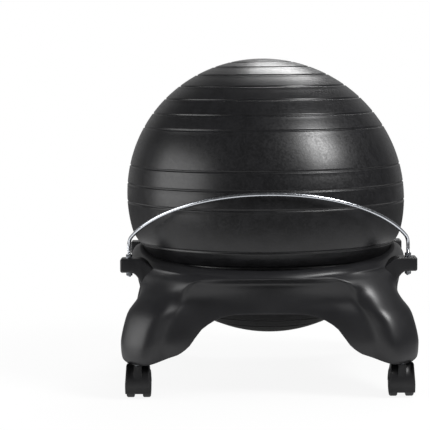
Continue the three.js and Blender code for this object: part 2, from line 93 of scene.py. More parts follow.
# Cutting tools reach this far past what they cut, and their own edges are this small.
OVERRUN = 5 * MM
CUT_EDGE = 0.1 * MM

# Latitudes of the grip grooves, in degrees up and down from the middle one.
GROOVE_STEPS = (0, 7.5, 24.5, 31.5, 39.5, 47.5, 56, 64, 71)
# Section across a groove from below: offset as a share of its half width, depth as a share.
GROOVE_SHARES = (
    (-2, 0), (-1.6, -0.12), (-1.15, -0.1), (-0.75, 0.3), (-0.4, 0.85), (0, 1),
    (0.4, 0.85), (0.75, 0.35), (1.1, 0), (1.6, 0),
)
# Half outlines of the valve plug about its own axis, as (radius, height) in millimetres.
PLUG_HEAD = (
    (0, 0.3), (6, 0.3), (8, 0.45), (8.1, 0.8), (7.7, 1.4), (6.6, 1.75), (4.4, 1.6), (3.4, 1.25), (0, 1.15),
)
PLUG_STEM = ((0, -14), (3.9, -14), (4.5, -13.2), (4.5, 0.6), (0, 0.6))

# Stations up the panels and legs. Each row holds the height as a share of the way from sole to rim,
# the leg's border with the panel along and across the leg as shares of its reach, the directions of
# the panel and of the flank there in degrees from the leg's axis, and the leg's tip as a share.
LEG_STATION_SHARES = (
    (0, 0.868, 0.1, 36, 14, 0.968),
    (0.035, 0.888, 0.114, 35, 14, 0.983),
    (0.075, 0.896, 0.12, 35, 14, 0.989),
    (0.15, 0.902, 0.126, 34, 14, 0.989),
    (0.25, 0.904, 0.13, 33, 15, 0.983),
    (0.4, 0.878, 0.135, 37, 16, 0.961),
    (0.54, 0.838, 0.145, 42, 18, 0.925),
    (0.65, 0.788, 0.151, 46, 34, 0.875),
    (0.735, 0.776, 0.162, 47, 62, 0.836),
    (0.81, 0.772, 0.181, 51, 78, 0.802),
    (0.86, 0.758, 0.204, 56, 80, 0.782),
    (0.89, 0.737, 0.233, 60, 78, 0.769),
    (0.918, 0.708, 0.258, 66, 74, 0.76),
)
# Stations over the lip: the drop below the rim as a share of the lip's drop, the radius as a share of
# the way from seat to rim, and the swell over each leg as a share of the same way.
LIP_STATION_SHARES = (
    (1, 1, 0.33),
    (0.55, 0.854, 0.12),
    (0.15, 0.604, 0.06),
    (-0.05, 0.29, 0),
)
# Underside of each arch: across as a share of its half span, up as a share of sole to crown.
ARCH_SHARES = (
    (0, 1), (0.278, 0.99), (0.407, 0.92), (0.509, 0.784), (0.583, 0.625),
    (0.641, 0.398), (0.731, 0.216), (0.806, 0.148), (0.931, 0.045), (1, 0),
)
# The side walls rise with the rim between these shares of the height.
RISE_SHARES = (0.65, 0.918)
# Between these shares of the height the legs change from blunt to round.
ROUNDING_SHARES = (0.6, 0.89)
# Above this share of the height the wall flares out to the lip.
FLARE_START_SHARE = 0.87
# Handles of the curves in plan: the panel's, the leg's at its border, and its tip's, blunt and round.
PANEL_HANDLE_SHARE = 0.338
LEG_HANDLE_SHARE = 0.35
BLUNT_HANDLE_SHARE = 0.7
ROUND_HANDLE_SHARE = 0.37
# Direction from a leg's axis in which the two curves meet on the lip.
LIP_BORDER_ANGLE = math.radians(20.7)
# Drops below the rim where the seat is drawn at its gap from the ball, in millimetres.
SEAT_DROPS = (0.9, 4, 12, 22)
# Handles of the bar's arch: across as a share of its half span, up its slope as a share.
BAR_HANDLE_SHARES = ((0.835, 0.552), (0.497, 1))
# Steps to one turn of the bar's thread.
THREAD_STEPS = 6
# Floor of the recess beside a hood's boss, from its front end: distance behind the stem and height
# above the axle, in millimetres.
RECESS_FLOOR = ((-14, 4), (-11.2, 9), (-9.6, 16), (-6.8, 22.5), (-2, 28.5), (5, 33.5), (10, 38))
# Wheels in millimetres: inset from the tread and height over the inner face, inset from the tread and
# depth from the outer face, then radius and depth round the hub.
WHEEL_BACK = ((1.5, 0), (0.5, 0.6), (0, 2))
WHEEL_DISH = ((5, 0), (5.6, 0.9), (10, 1.5))
WHEEL_HUB = ((7.6, 1.6), (7.3, 0.2), (6.6, 0))
# Grip ribs of a brake's pedal: distance from its tail in millimetres, height as a share of the half.
PEDAL_RIBS = ((3.4, 0.52), (5.4, 0.57), (7.4, 0.62), (9.4, 0.67))

# Softboxes: name, property of the power, width, height, direction from the ball and distance.
SOFTBOXES = (
    ("right_softbox", "right_power", 0.55, 0.8, Vector((0.62, -0.47, 0.63)), 1.8),
    ("left_panel", "left_power", 1.5, 1.2, Vector((-0.95, -0.3, 0.15)), 1.8),
    ("back_softbox", "back_power", 0.75, 0.6, Vector((0.13, 0.62, 0.77)), 2),
)


def length(name, description, millimetres):
    return bpy.props.FloatProperty(
        name=name, description=description, default=millimetres * MM, unit="LENGTH", subtype="DISTANCE"
    )


def degrees(name, description, default):
    return bpy.props.FloatProperty(
        name=name, description=description, default=math.radians(default), subtype="ANGLE"
    )


def number(name, description, default):
    return bpy.props.FloatProperty(name=name, description=description, default=default)


def power(name, description, default):
    return bpy.props.FloatProperty(name=name, description=description, default=default, unit="POWER")


def colour(name, description, default):
    return bpy.props.FloatVectorProperty(
        name=name, description=description, default=default, size=3, subtype="COLOR"
    )


class BallSettings(bpy.types.PropertyGroup):
    """Sizes and finish of the ball."""

    skin: colour("Vinyl", "Colour of the ball's skin", (0.0095, 0.0095, 0.0105))
    groove_width: length("Groove width", "Width of each grip groove", 4.4)
    groove_depth: length("Groove depth", "Depth of each grip groove", 1.5)
    middle_groove: degrees("Middle groove", "Latitude of the middle groove", 6.1)
    pinch_depth: length("Pinch depth", "How far the rim presses into the ball", 9.5)
    pinch_reach: length("Pinch reach", "Height over which the pinch fades out", 17)
    lean: number("Lean", "Sideways lean of the ball for each unit of height", -0.024)
    plug_latitude: degrees("Plug latitude", "Latitude of the valve plug at the back", 22)


class BaseSettings(bpy.types.PropertyGroup):
    """Sizes and finish of the moulded base."""

    plastic: colour("Plastic", "Colour of the base's plastic", (0.012, 0.012, 0.0135))
    rim_height: length("Rim height", "Height of the rim in front", 226)
    rim_rise: length("Rim rise", "Rise of the rim at the sides", 13)
    hump_rise: length("Hump rise", "Height of the hump on the rim at each side", 10)
    hump_sharpness: number("Hump sharpness", "Power that keeps the hump short", 14)
    rim_radius: length("Rim radius", "Outer radius of the rim", 257)
    seat_radius: length("Seat radius", "Radius of the seat's edge", 233)
    wall_radius: length("Wall radius", "Distance of the panels from the middle", 243)
    border_step: length("Border step", "How far the panels are sunk inside the legs' borders", 4.5)
    border_width: length("Border width", "Width of the slope along the legs' borders", 9)
    lip_step: length("Lip step", "How far the crease under the lip is set back", 2)
    bore_radius: length("Bore radius", "Radius of the opening under the ball", 212)
    lip_drop: length("Lip drop", "Height of the rim's rounded lip", 10)
    leg_reach: length("Leg reach", "Reach of a foot from the middle", 350)
    arch_half_span: length("Arch half span", "Half span of each arch between the legs", 216)
    crown_height: length("Crown height", "Height of each arch", 150)
    edge_radius: length("Edge radius", "Rounding of the arches' edges", 1.8)
    seat_gap: length("Seat gap", "Gap between the seat and the ball", 0.8)
    lug_depth: length("Lug depth", "Depth of a lug from front to back", 36)
    lug_corner: length("Lug corner", "Rounding of a lug's corners", 3.5)
    lug_fillet: length("Lug fillet", "Radius of the fillet under a lug", 9)


class BarSettings(bpy.types.PropertyGroup):
    """Sizes and finish of the support bar and its nuts."""

    zinc: colour("Zinc", "Colour of the plated steel", (0.78, 0.81, 0.86))
    rod_radius: length("Rod radius", "Radius of the rod", 3.25)
    post_height: length("Post height", "Height of the bend above the lug", 33)
    bend: length("Bend", "Length of the bend at each side of its corner", 12)
    thread_pitch: length("Thread pitch", "Pitch of the thread on the rod's ends", 1.25)
    thread_depth: length("Thread depth", "Depth of the thread", 0.35)


class CasterSettings(bpy.types.PropertyGroup):
    """Sizes and finish of the casters."""

    hood: colour("Hood", "Colour of the caster hoods", (0.01, 0.01, 0.011))
    tread: colour("Tread", "Colour of the wheels", (0.018, 0.018, 0.019))
    trail: length("Trail", "Distance of the axle behind the stem", 17)
    hood_wall: length("Hood wall", "Thickness of the hood over the wheels", 2.2)
    hood_gap: length("Hood gap", "Gap between wheel and hood", 1.2)
    boss_radius: length("Boss radius", "Radius of the boss round the stem", 7)
    stem_bore: length("Stem bore", "Radius of the bores for the stem", 4.3)
    axle_bore: length("Axle bore", "Radius of the bores for the axle", 3.3)
    pin_bore: length("Pin bore", "Radius of the bores for the brake's pin", 1.5)


class StageSettings(bpy.types.PropertyGroup):
    """Studio light and the camera."""

    right_power: power("Right light", "Power of the softbox on the right", 29)
    left_power: power("Left light", "Power of the large panel on the left", 18)
    back_power: power("Back light", "Power of the softbox over the back", 17)
    ambient: number("Ambient", "Strength of the plain light from all round", 0.4)
    front_glow: number("Front glow", "How bright a reflection shows the studio in front", 0.05)
    back_glow: number("Back glow", "How bright a reflection shows the backdrop", 0.4)
    camera_distance: length("Camera distance", "Distance from the middle of the chair", 3000)
    camera_height: length("Camera height", "Height of the camera", 587.6)
    lens: number("Lens", "Focal length in millimetres", 133.45)


class ChairSettings(bpy.types.PropertyGroup):
    """All settings of the chair."""

    ball: bpy.props.PointerProperty(type=BallSettings)
    base: bpy.props.PointerProperty(type=BaseSettings)
    bar: bpy.props.PointerProperty(type=BarSettings)
    caster: bpy.props.PointerProperty(type=CasterSettings)
    stage: bpy.props.PointerProperty(type=StageSettings)


def settings():
    return bpy.context.scene.ball_chair


# Shaders.


class Link:
    """An output socket. Sums and products written with it add Math nodes."""

    def __init__(self, shader, socket):
        self.shader = shader
        self.socket = socket

    def math(self, operation, first, second):
        return self.shader.node("ShaderNodeMath", {0: first, 1: second}, operation=operation)

    def __add__(self, other):
        return self.math("ADD", self, other)

    def __radd__(self, other):
        return self.math("ADD", other, self)

    def __sub__(self, other):
        return self.math("SUBTRACT", self, other)

    def __rsub__(self, other):
        return self.math("SUBTRACT", other, self)

    def __mul__(self, other):
        return self.math("MULTIPLY", self, other)

    def __rmul__(self, other):
        return self.math("MULTIPLY", other, self)


class Shader:
    """A node tree, with one method that adds a node of any type and gives one of its outputs."""

    def __init__(self, tree):
        self.tree = tree
        tree.nodes.clear()

    def node(self, kind, inputs=None, output=0, **values):
        node = self.tree.nodes.new(kind)
        for name, value in values.items():
            setattr(node, name, value)
        for key, value in (inputs or {}).items():
            if isinstance(value, Link):
                self.tree.links.new(value.socket, node.inputs[key])
            else:
                node.inputs[key].default_value = value
        return Link(self, node.outputs[output]) if node.outputs else None

    def noise(self, scale, detail=2, roughness=0.5):
        place = self.node("ShaderNodeTexCoord", output="Object")
        inputs = {"Vector": place, "Scale": scale, "Detail": detail, "Roughness": roughness}
        return self.node("ShaderNodeTexNoise", inputs)

    def between(self, value, low, high, start=0, end=1):
        """Value mapped from low..high to start..end, with soft ends."""
        inputs = {"Value": value, "From Min": low, "From Max": high, "To Min": start, "To Max": end}
        return self.node("ShaderNodeMapRange", inputs, interpolation_type="SMOOTHSTEP")

    def tones(self, factor, base, dark, bright):
        """Colour between two shades of a base colour."""
        inputs = {0: factor, 6: shade(base, dark), 7: shade(base, bright)}
        return self.node("ShaderNodeMix", inputs, output=2, data_type="RGBA")

    def bump(self, height, distance, strength=1):
        inputs = {"Height": height, "Distance": distance, "Strength": strength}
        return self.node("ShaderNodeBump", inputs)

    def surface(self, inputs):
        shine = self.node("ShaderNodeBsdfPrincipled", inputs)
        self.node("ShaderNodeOutputMaterial", {"Surface": shine})


def shade(base, factor):
    return (*(channel * factor for channel in base), 1)


def finish(build):
    """The material that a function builds, made the first time it is asked for."""
    name = f"{build.__name__}_finish"
    found = bpy.data.materials.get(name)
    if found is None:
        found = bpy.data.materials.new(name)
        found.use_nodes = True
        build(Shader(found.node_tree))
    return found


def ball_vinyl(shader):
    skin = settings().ball.skin
    cloudy = shader.noise(45, 4)
    pebbles = shader.noise(260, 4, 0.6)
    tone = shader.between(cloudy * 0.5 + pebbles * 0.5, 0.4, 0.6)
    shader.surface({
        "Base Color": shader.tones(tone, skin, 0.8, 1.25),
        "Roughness": shader.between(pebbles, 0.35, 0.65, 0.3, 0.4),
        "Normal": shader.bump(pebbles, 0.1 * MM),
    })


def base_plastic(shader):
    plastic = settings().base.plastic
    grain = shader.noise(1500, 2)
    flow = shader.noise(18, 3)
    shader.surface({
        "Base Color": shader.tones(flow, plastic, 0.85, 1.2),
        "Roughness": shader.between(flow, 0.3, 0.7, 0.34, 0.42),
        "Normal": shader.bump(grain, 0.012 * MM),
    })


def zinc_steel(shader):
    zinc = settings().bar.zinc
    cloud = shader.noise(160, 3)
    shader.surface({
        "Base Color": shader.tones(cloud, zinc, 0.94, 1.05),
        "Metallic": 1.0,
        "Roughness": shader.between(cloud, 0.3, 0.7, 0.2, 0.3),
    })


def caster_plastic(shader):
    hood = settings().caster.hood
    grain = shader.noise(1800, 2)
    shader.surface({
        "Base Color": shader.tones(shader.noise(60), hood, 0.85, 1.2),
        "Roughness": shader.between(grain, 0.3, 0.7, 0.3, 0.42),
        "Specular IOR Level": 0.38,
        "Normal": shader.bump(grain, 0.01 * MM),
    })


def wheel_nylon(shader):
    tread = settings().caster.tread
    scuffs = shader.noise(240, 4, 0.7)
    shader.surface({
        "Base Color": shader.tones(scuffs, tread, 0.8, 1.4),
        "Roughness": shader.between(scuffs, 0.3, 0.7, 0.42, 0.6),
        "Normal": shader.bump(scuffs, 0.06 * MM),
    })


FINISHES = {
    "ball_vinyl": ball_vinyl,
    "plug_plastic": caster_plastic,
    "base_plastic": base_plastic,
    "zinc_steel": zinc_steel,
    "caster_plastic": caster_plastic,
    "wheel_nylon": wheel_nylon,
}


# Mesh tools.


def placed_grid(columns, rows, place, row_layer=None):
    """Grid whose vertices are moved to place(column, row), with its seams merged."""
    bm = bmesh.new()
    bmesh.ops.create_grid(bm, x_segments=columns, y_segments=rows, size=0.5)
    layer = bm.verts.layers.int.new(row_layer) if row_layer else None
    for vert in bm.verts:
        column = round((vert.co.x + 0.5) * columns)
        row = round((vert.co.y + 0.5) * rows)
        vert.co = place(column, row)
        if layer:
            vert[layer] = row
    tidy(bm)
    return bm


def tidy(bm):
    """Merges what meets and turns the faces outwards."""
    bmesh.ops.remove_doubles(bm, verts=bm.verts, dist=1e-6)
    bmesh.ops.dissolve_degenerate(bm, edges=bm.edges, dist=1e-7)
    bmesh.ops.recalc_face_normals(bm, faces=bm.faces)


def spun(profile, steps):
    """Solid of revolution about Z of (radius, height) points."""
    bm = bmesh.new()
    verts = [bm.verts.new((radius, 0, height)) for radius, height in profile]
    edges = [bm.edges.new(pair) for pair in zip(verts, verts[1:])]
    bmesh.ops.spin(
        bm, geom=verts + edges, axis=UP, cent=(0, 0, 0), angle=2 * math.pi, steps=steps, use_merge=True
    )
    tidy(bm)
    return bm


def rod_profile(radius, bottom, top, edge):
    return [
        (0, bottom), (radius - edge, bottom), (radius, bottom + edge),
        (radius, top - edge), (radius - edge, top), (0, top),
    ]


def soften(bm, edges, width, segments=3):
    bmesh.ops.bevel(
        bm, geom=edges, offset=width, offset_type="OFFSET", segments=segments, profile=0.5,
        affect="EDGES", clamp_overlap=True, material=-1,
    )


def sharp_edges(bm, angle=math.radians(50)):
    return [edge for edge in bm.edges if edge.is_manifold and edge.calc_face_angle(0) > angle]


def prism(outline, width, edge):
    """Prism across X, centred, from an outline of (back, up) points, with softened edges."""
    bm = bmesh.new()
    face = bm.faces.new([bm.verts.new((-width / 2, back, up)) for back, up in outline])
    grown = bmesh.ops.extrude_face_region(bm, geom=[face])["geom"]
    far_side = [item for item in grown if isinstance(item, bmesh.types.BMVert)]
    bmesh.ops.translate(bm, verts=far_side, vec=(width, 0, 0))
    bmesh.ops.recalc_face_normals(bm, faces=bm.faces)
    if edge:
        soften(bm, sharp_edges(bm), edge, 2)
    return bm


def loose_object(bm):
    mesh = bpy.data.meshes.new("tool")
    bm.to_mesh(mesh)
    bm.free()
    tool = bpy.data.objects.new("tool", mesh)
    bpy.context.scene.collection.objects.link(tool)
    return tool


def combined(first, steps):
    """First solid after each step of (operation, solid), which are used up."""
    piece = loose_object(first)
    tools = [piece]
    for operation, other in steps:
        tool = loose_object(other)
        tools.append(tool)
        modifier = piece.modifiers.new(operation, "BOOLEAN")
        modifier.operation = operation
        modifier.solver = "EXACT"
        modifier.object = tool
    scene_graph = bpy.context.evaluated_depsgraph_get()
    mesh = bpy.data.meshes.new_from_object(piece.evaluated_get(scene_graph))
    bm = bmesh.new()
    bm.from_mesh(mesh)
    bpy.data.meshes.remove(mesh)
    for tool in tools:
        used = tool.data
        bpy.data.objects.remove(tool)
        bpy.data.meshes.remove(used)
    return bm


def moved(bm, matrix):
    bmesh.ops.transform(bm, matrix=matrix, verts=bm.verts)
    return bm


def add_piece(name, bm, body, nodes, slot, smooth_angle=40):
    """Adds a finished piece that stands for frame nodes, rides on a body and shows a slot's finish."""
    mesh = bpy.data.meshes.new(name)
    bm.to_mesh(mesh)
    bm.free()
    mesh.materials.append(finish(FINISHES[slot]))
    mesh.shade_smooth()
    mesh.set_sharp_from_angle(angle=math.radians(smooth_angle))
    piece = bpy.data.objects.new(name, mesh)
    bpy.context.scene.collection.objects.link(piece)
    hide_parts(*nodes)
    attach(piece, body)
    return piece


def lerp(start, end, share):
    return start + (end - start) * share


def smooth_step(share):
    share = min(max(share, 0), 1)
    return share * share * (3 - 2 * share)


def arc(radius, start, end, steps, centre):
    """Points of an arc about a centre, from one angle to another."""
    across, up = centre
    angles = [lerp(start, end, i / steps) for i in range(steps + 1)]
    return [(across + radius * math.cos(angle), up + radius * math.sin(angle)) for angle in angles]


def spline(points, place):
    """Point on a smooth curve through all the points, counted from 0 at the first one."""
    index = min(int(place), len(points) - 2)
    t = place - index
    b, c = points[index], points[index + 1]
    a = points[index - 1] if index else 2 * b - c
    d = points[index + 2] if index + 2 < len(points) else 2 * c - b
    return 0.5 * (
        2 * b + (c - a) * t + (2 * a - 5 * b + 4 * c - d) * t**2 + (3 * b - a - 3 * c + d) * t**3
    )


def height_along(table, across):
    """Height at a distance across a table of points that run outwards, kept flat past its end."""
    for start, end in zip(table, table[1:]):
        if across <= end.x:
            return lerp(start.y, end.y, (across - start.x) / (end.x - start.x))
    return table[-1].y


# Ball.


def rim_height(side):
    """Height of the rim, where side runs from 0 in front to 1 at the sides."""
    base = settings().base
    return base.rim_height + base.rim_rise * side + base.hump_rise * side**base.hump_sharpness


def pinch(height, side):
    """How far the rim presses the ball in at a height."""
    ball = settings().ball
    above = (height - rim_height(side)) / ball.pinch_reach
    return ball.pinch_depth * math.exp(-above * above)


def ball_reach(height, side):
    """Radius of the ball's skin at a height."""
    rise = (height - BALL_MIDDLE.z) / BALL_HALF_HEIGHT
    return BALL_RADIUS * math.sqrt(max(0, 1 - rise * rise)) - pinch(height, side)


def side_share(point):
    """How far round from the front or back a place is, from 0 to 1 at the sides."""
    return point.x**2 / max(point.x**2 + point.y**2, 1e-12)


def groove_latitudes():
    """Latitudes of all grooves from the lowest one upwards."""
    steps = [math.radians(step) for step in GROOVE_STEPS]
    offsets = [-step for step in reversed(steps[1:])] + steps
    return [settings().ball.middle_groove + offset for offset in offsets]


def ball_profile():
    """Half outline from the lower pole to the upper one, dipping at every groove."""
    ball = settings().ball
    half = ball.groove_width / 2 / BALL_RADIUS
    plain_step = math.radians(1.6)
    pole = math.pi / 2
    dips = [
        [(latitude + share * half, deep * ball.groove_depth) for share, deep in GROOVE_SHARES]
        for latitude in groove_latitudes()
    ]
    points = [(-pole, 0)]
    for dip in [*dips, [(pole, 0)]]:
        start = points[-1][0]
        end = dip[0][0]
        count = max(1, math.ceil((end - start) / plain_step))
        points += [(lerp(start, end, i / count), 0) for i in range(1, count)]
        points += dip
    return [
        ((BALL_RADIUS - deep) * max(math.cos(latitude), 0),
         BALL_MIDDLE.z + (BALL_HALF_HEIGHT - deep) * math.sin(latitude))
        for latitude, deep in points
    ]


def leaned(point):
    """Place on the leaning ball of a point on the upright one."""
    ball = settings().ball
    return Vector((point.x + ball.lean * (point.z - settings().base.rim_height), point.y, point.z))


def ball_mesh():
    """Grooved skin, pressed in where it meets the rim."""
    profile = ball_profile()
    profile[0] = (0, profile[0][1])
    profile[-1] = (0, profile[-1][1])
    bm = spun(profile, 160)
    for vert in bm.verts:
        flat = vert.co.xy
        if flat.length > 1e-5:
            reach = flat.length - pinch(vert.co.z, side_share(vert.co))
            vert.co.xy = flat.normalized() * reach
        vert.co = leaned(vert.co)
    return bm


def in_metres(outline):
    return [(radius * MM, height * MM) for radius, height in outline]


def plug_mesh():
    """Flat cap with a stem, square to the ball's skin."""
    bm = combined(spun(in_metres(PLUG_STEM), 32), [("UNION", spun(in_metres(PLUG_HEAD), 48))])
    latitude = settings().ball.plug_latitude
    back = BALL_RADIUS * math.cos(latitude)
    up = BALL_MIDDLE.z + BALL_HALF_HEIGHT * math.sin(latitude)
    place = leaned(Vector((0, back, up)))
    turn = Matrix.Rotation(latitude - math.pi / 2, 4, "X")
    return moved(bm, Matrix.Translation(place) @ turn)


# Base.


def bezier_point(handles, t):
    a, b, c, d = handles
    s = 1 - t
    return s**3 * a + 3 * s * s * t * b + 3 * s * t * t * c + t**3 * d


def heading(angle):
    """Direction in plan, turned from the leg's axis towards its tip's side."""
    return Vector((math.cos(angle), -math.sin(angle)))


def half_outline(plan):
    """Half of one leg's outline in plan, from the middle of a panel over its border to the tip."""
    panel_count = 24
    leg_count = 18
    crowding = 1.7
    smoothings = 3
    base = settings().base
    start = plan["wall"] * Vector((1, 1)) / math.sqrt(2)
    border = plan["border"]
    tip = Vector((plan["tip"], 0))
    panel_handle = PANEL_HANDLE_SHARE * (border - start).length
    reach = (tip - border).length
    panel = [
        start, start + heading(math.pi / 4) * panel_handle,
        border - heading(plan["panel_turn"]) * panel_handle, border,
    ]
    leg = [
        border, border + heading(plan["leg_turn"]) * LEG_HANDLE_SHARE * reach,
        tip - heading(math.pi / 2) * plan["tip_handle"] * reach, tip,
    ]
    points = []
    for i in range(panel_count):
        point = bezier_point(panel, 1 - (1 - i / panel_count) ** crowding)
        sunk = smooth_step((border - point).length / base.border_width)
        points.append(point - sunk * plan["step"] * start.normalized())
    points += [bezier_point(leg, i / leg_count) for i in range(leg_count + 1)]
    for _ in range(smoothings):
        inner = [(a + 2 * b + c) / 4 for a, b, c in zip(points, points[1:], points[2:])]
        points = [points[0], *inner, points[-1]]
    return points


def station_ring(plan):
    """Outline of one station all the way round, with the rim's rise at the sides."""
    half = half_outline(plan)
    around = [Vector((point.x, -point.y)) for point in half] + [point.copy() for point in half[-2:0:-1]]
    ring = []
    for quarter in range(4):
        turn = Matrix.Rotation(-math.pi / 4 + quarter * math.pi / 2, 2)
        for point in around:
            place = turn @ point
            side = side_share(place)
            hump = plan["hump"] * side ** settings().base.hump_sharpness
            ring.append(Vector((*place, plan["height"] + plan["rise"] * side + hump)))
    return ring


def leg_plan(row):
    """What half_outline and station_ring need at one station up the legs."""
    base = settings().base
    height_share, along_share, across_share, panel_turn, leg_turn, tip_share = row
    start, end = RISE_SHARES
    flare = smooth_step((height_share - FLARE_START_SHARE) / (end - FLARE_START_SHARE))
    blunt_end, round_start = ROUNDING_SHARES
    rounding = smooth_step((height_share - blunt_end) / (round_start - blunt_end))
    return {
        "height": lerp(SOLE_HEIGHT - SOLE_RIM, base.rim_height, height_share),
        "wall": lerp(base.wall_radius, base.rim_radius - base.lip_step, flare),
        "border": base.leg_reach * Vector((along_share, across_share)),
        "panel_turn": math.radians(panel_turn),
        "leg_turn": math.radians(leg_turn),
        "tip": tip_share * base.leg_reach,
        "tip_handle": lerp(BLUNT_HANDLE_SHARE, ROUND_HANDLE_SHARE, rounding),
        "step": base.border_step * (1 - flare),
        "rise": base.rim_rise * min(max((height_share - start) / (end - start), 0), 1),
        "hump": 0,
    }


def lip_plan(row):
    """The same for one station over the lip, which is round but for a slight swell over each leg."""
    base = settings().base
    drop_share, radius_share, swell_share = row
    lip = base.rim_radius - base.seat_radius
    radius = base.seat_radius + radius_share * lip
    turn = math.pi / 2 - LIP_BORDER_ANGLE
    return {
        "height": base.rim_height - drop_share * base.lip_drop,
        "wall": radius,
        "border": radius * Vector((math.cos(LIP_BORDER_ANGLE), math.sin(LIP_BORDER_ANGLE))),
        "panel_turn": turn,
        "leg_turn": turn,
        "tip": radius + swell_share * lip,
        "tip_handle": ROUND_HANDLE_SHARE,
        "step": 0,
        "rise": base.rim_rise,
        "hump": base.hump_rise * min(max(1 - drop_share, 0), 1),
    }


def seat_points(lip_point):
    """Points from the lip's inner edge down the seat, which follows the ball, to the bore."""
    base = settings().base
    outwards = Vector((lip_point.x, lip_point.y, 0)).normalized()
    side = side_share(lip_point)
    points = []
    for drop in SEAT_DROPS:
        height = rim_height(side) - drop * MM
        points.append(outwards * (ball_reach(height, side) + base.seat_gap) + height * UP)
    bore_share = base.bore_radius / (BALL_RADIUS + base.seat_gap)
    bore_top = BALL_MIDDLE.z - BALL_HALF_HEIGHT * math.sqrt(1 - bore_share * bore_share)
    points.append(outwards * base.bore_radius + bore_top * UP)
    return points


def arch_table():
    """Arch height against the distance across, sampled finely."""
    base = settings().base
    points = [
        Vector((across * base.arch_half_span, lerp(SOLE_HEIGHT - SOLE_RIM, base.crown_height, up)))
        for across, up in ARCH_SHARES
    ]
    steps = 12
    last = len(points) - 1
    return [spline(points, i / steps) for i in range(last * steps + 1)]


def underside(table, spot):
    """Height of the arched underside at a place, on whichever pair of arches is higher."""
    return max(height_along(table, abs(spot.x)), height_along(table, abs(spot.y)))


def wall_foot(curve, wall_end, table):
    """Where a curve up the wall leaves the underside, counted from 0 at its lowest station."""
    def above(place):
        spot = spline(curve, place)
        return spot.z - underside(table, spot)

    stride = 0.25
    place = wall_end
    while place > 0 and above(place) > 0:
        place -= stride
    low = max(place, 0)
    high = place + stride
    for _ in range(20):
        halfway = (low + high) / 2
        if above(halfway) > 0:
            high = halfway
        else:
            low = halfway
    return high if above(0) < -1e-6 or low > 0 else 0.0


def base_mesh():
    """Closed skin: bore, underside, wall and legs, lip and seat, on one grid that wraps both ways."""
    under_rows = 10
    wall_rows = 36
    rows_per_station = 4
    rings = [station_ring(leg_plan(row)) for row in LEG_STATION_SHARES]
    rings += [station_ring(lip_plan(row)) for row in LIP_STATION_SHARES]
    table = arch_table()
    count = len(rings[0])
    wall_end = len(LEG_STATION_SHARES) - 1

    columns = []
    for i in range(count):
        curve = [ring[i] for ring in rings]
        curve += seat_points(curve[-1])
        start = wall_foot(curve, wall_end, table)
        foot = spline(curve, start)
        bore = curve[-1]
        column = []
        for row in range(under_rows):
            spot = bore.lerp(foot, row / under_rows)
            column.append(Vector((spot.x, spot.y, underside(table, spot))))
        column += [spline(curve, lerp(start, wall_end, row / wall_rows)) for row in range(wall_rows)]
        upper_rows = (len(curve) - 1 - wall_end) * rows_per_station
        column += [spline(curve, wall_end + row / rows_per_station) for row in range(upper_rows + 1)]
        column.append(column[0])
        columns.append(column)

    bm = placed_grid(count, len(columns[0]) - 1, lambda i, j: columns[i % count][j], "row")
    layer = bm.verts.layers.int["row"]
    foot_edges = [edge for edge in bm.edges if all(vert[layer] == under_rows for vert in edge.verts)]
    soften(bm, foot_edges, settings().base.edge_radius)
    bm.verts.layers.int.remove(bm.verts.layers.int["row"])
    return bm


def rounded_rectangle(half_width, low, high, radius, steps=5):
    """Outline of a rectangle with round corners, as points counter-clockwise."""
    centres = (
        (half_width - radius, high - radius), (radius - half_width, high - radius),
        (radius - half_width, low + radius), (half_width - radius, low + radius),
    )
    points = []
    for corner, centre in enumerate(centres):
        start = math.pi / 2 * corner
        points += arc(radius, start, start + math.pi / 2, steps, centre)
    return points


def closed_tube(rings):
    """Solid through a row of rings of points, closed at both ends."""
    sides = len(rings[0])
    bm = placed_grid(sides, len(rings) - 1, lambda i, j: rings[j][i % sides])
    bmesh.ops.holes_fill(bm, edges=[edge for edge in bm.edges if edge.is_boundary], sides=0)
    bmesh.ops.recalc_face_normals(bm, faces=bm.faces)
    return bm


def lug_mesh(side, end):
    """Tab with round corners that runs on into the leg's shoulder, with a fillet under it."""
    corner_steps = 5
    run_steps = 18
    block = 19 * MM
    full_run = 54 * MM
    shelf = 14 * MM
    sink = 22 * MM
    swell = 5 * MM
    base = settings().base
    corner = base.lug_corner
    block_end = LUG_REACH - block
    # Each section is its reach, its inset, and how far it grows downwards, sideways and sinks on top.
    rounding = arc(corner, 0, math.pi / 2, corner_steps, (LUG_REACH - corner, 0))
    sections = [(reach, corner - up, 0, 0, 0) for reach, up in rounding]
    sections.append((block_end, 0, 0, 0, 0))
    for i in range(1, run_steps + 1):
        run = full_run * i / run_steps
        flare = min(run * run / 2 / base.lug_fillet, run)
        spread = swell * smooth_step(run / full_run)
        drop = sink * smooth_step((run - shelf) / (full_run - shelf))
        sections.append((block_end - run, 0, flare, spread, drop))
    rings = []
    for reach, inset, flare, spread, drop in sections:
        outline = rounded_rectangle(
            base.lug_depth / 2 - inset + spread,
            LUG_BOTTOM + inset - flare,
            LUG_TOP - inset - drop,
            max(corner - inset / 2, corner / 2),
        )
        rings.append([Vector((side * reach, end * (-BAR_POST.y) + y, z)) for y, z in outline])
    return closed_tube(rings)


def post_hole(side):
    """Cutter for the bar's post in a front lug."""
    radius = 4 * MM
    hole = rod_profile(radius, LUG_BOTTOM - OVERRUN, LUG_TOP + OVERRUN, CUT_EDGE)
    return moved(spun(hole, 24), Matrix.Translation((side * BAR_POST.x, BAR_POST.y, 0)))


def sleeve_socket(corner):
    """Cutter for a caster's sleeve in a sole."""
    radius = 6.8 * MM
    depth = 16 * MM
    sleeve = middle(f"{corner}_caster_sleeve")
    socket = rod_profile(radius, SOLE_HEIGHT - OVERRUN, SOLE_HEIGHT + depth, CUT_EDGE)
    return moved(spun(socket, 40), Matrix.Translation((sleeve.x, sleeve.y, 0)))


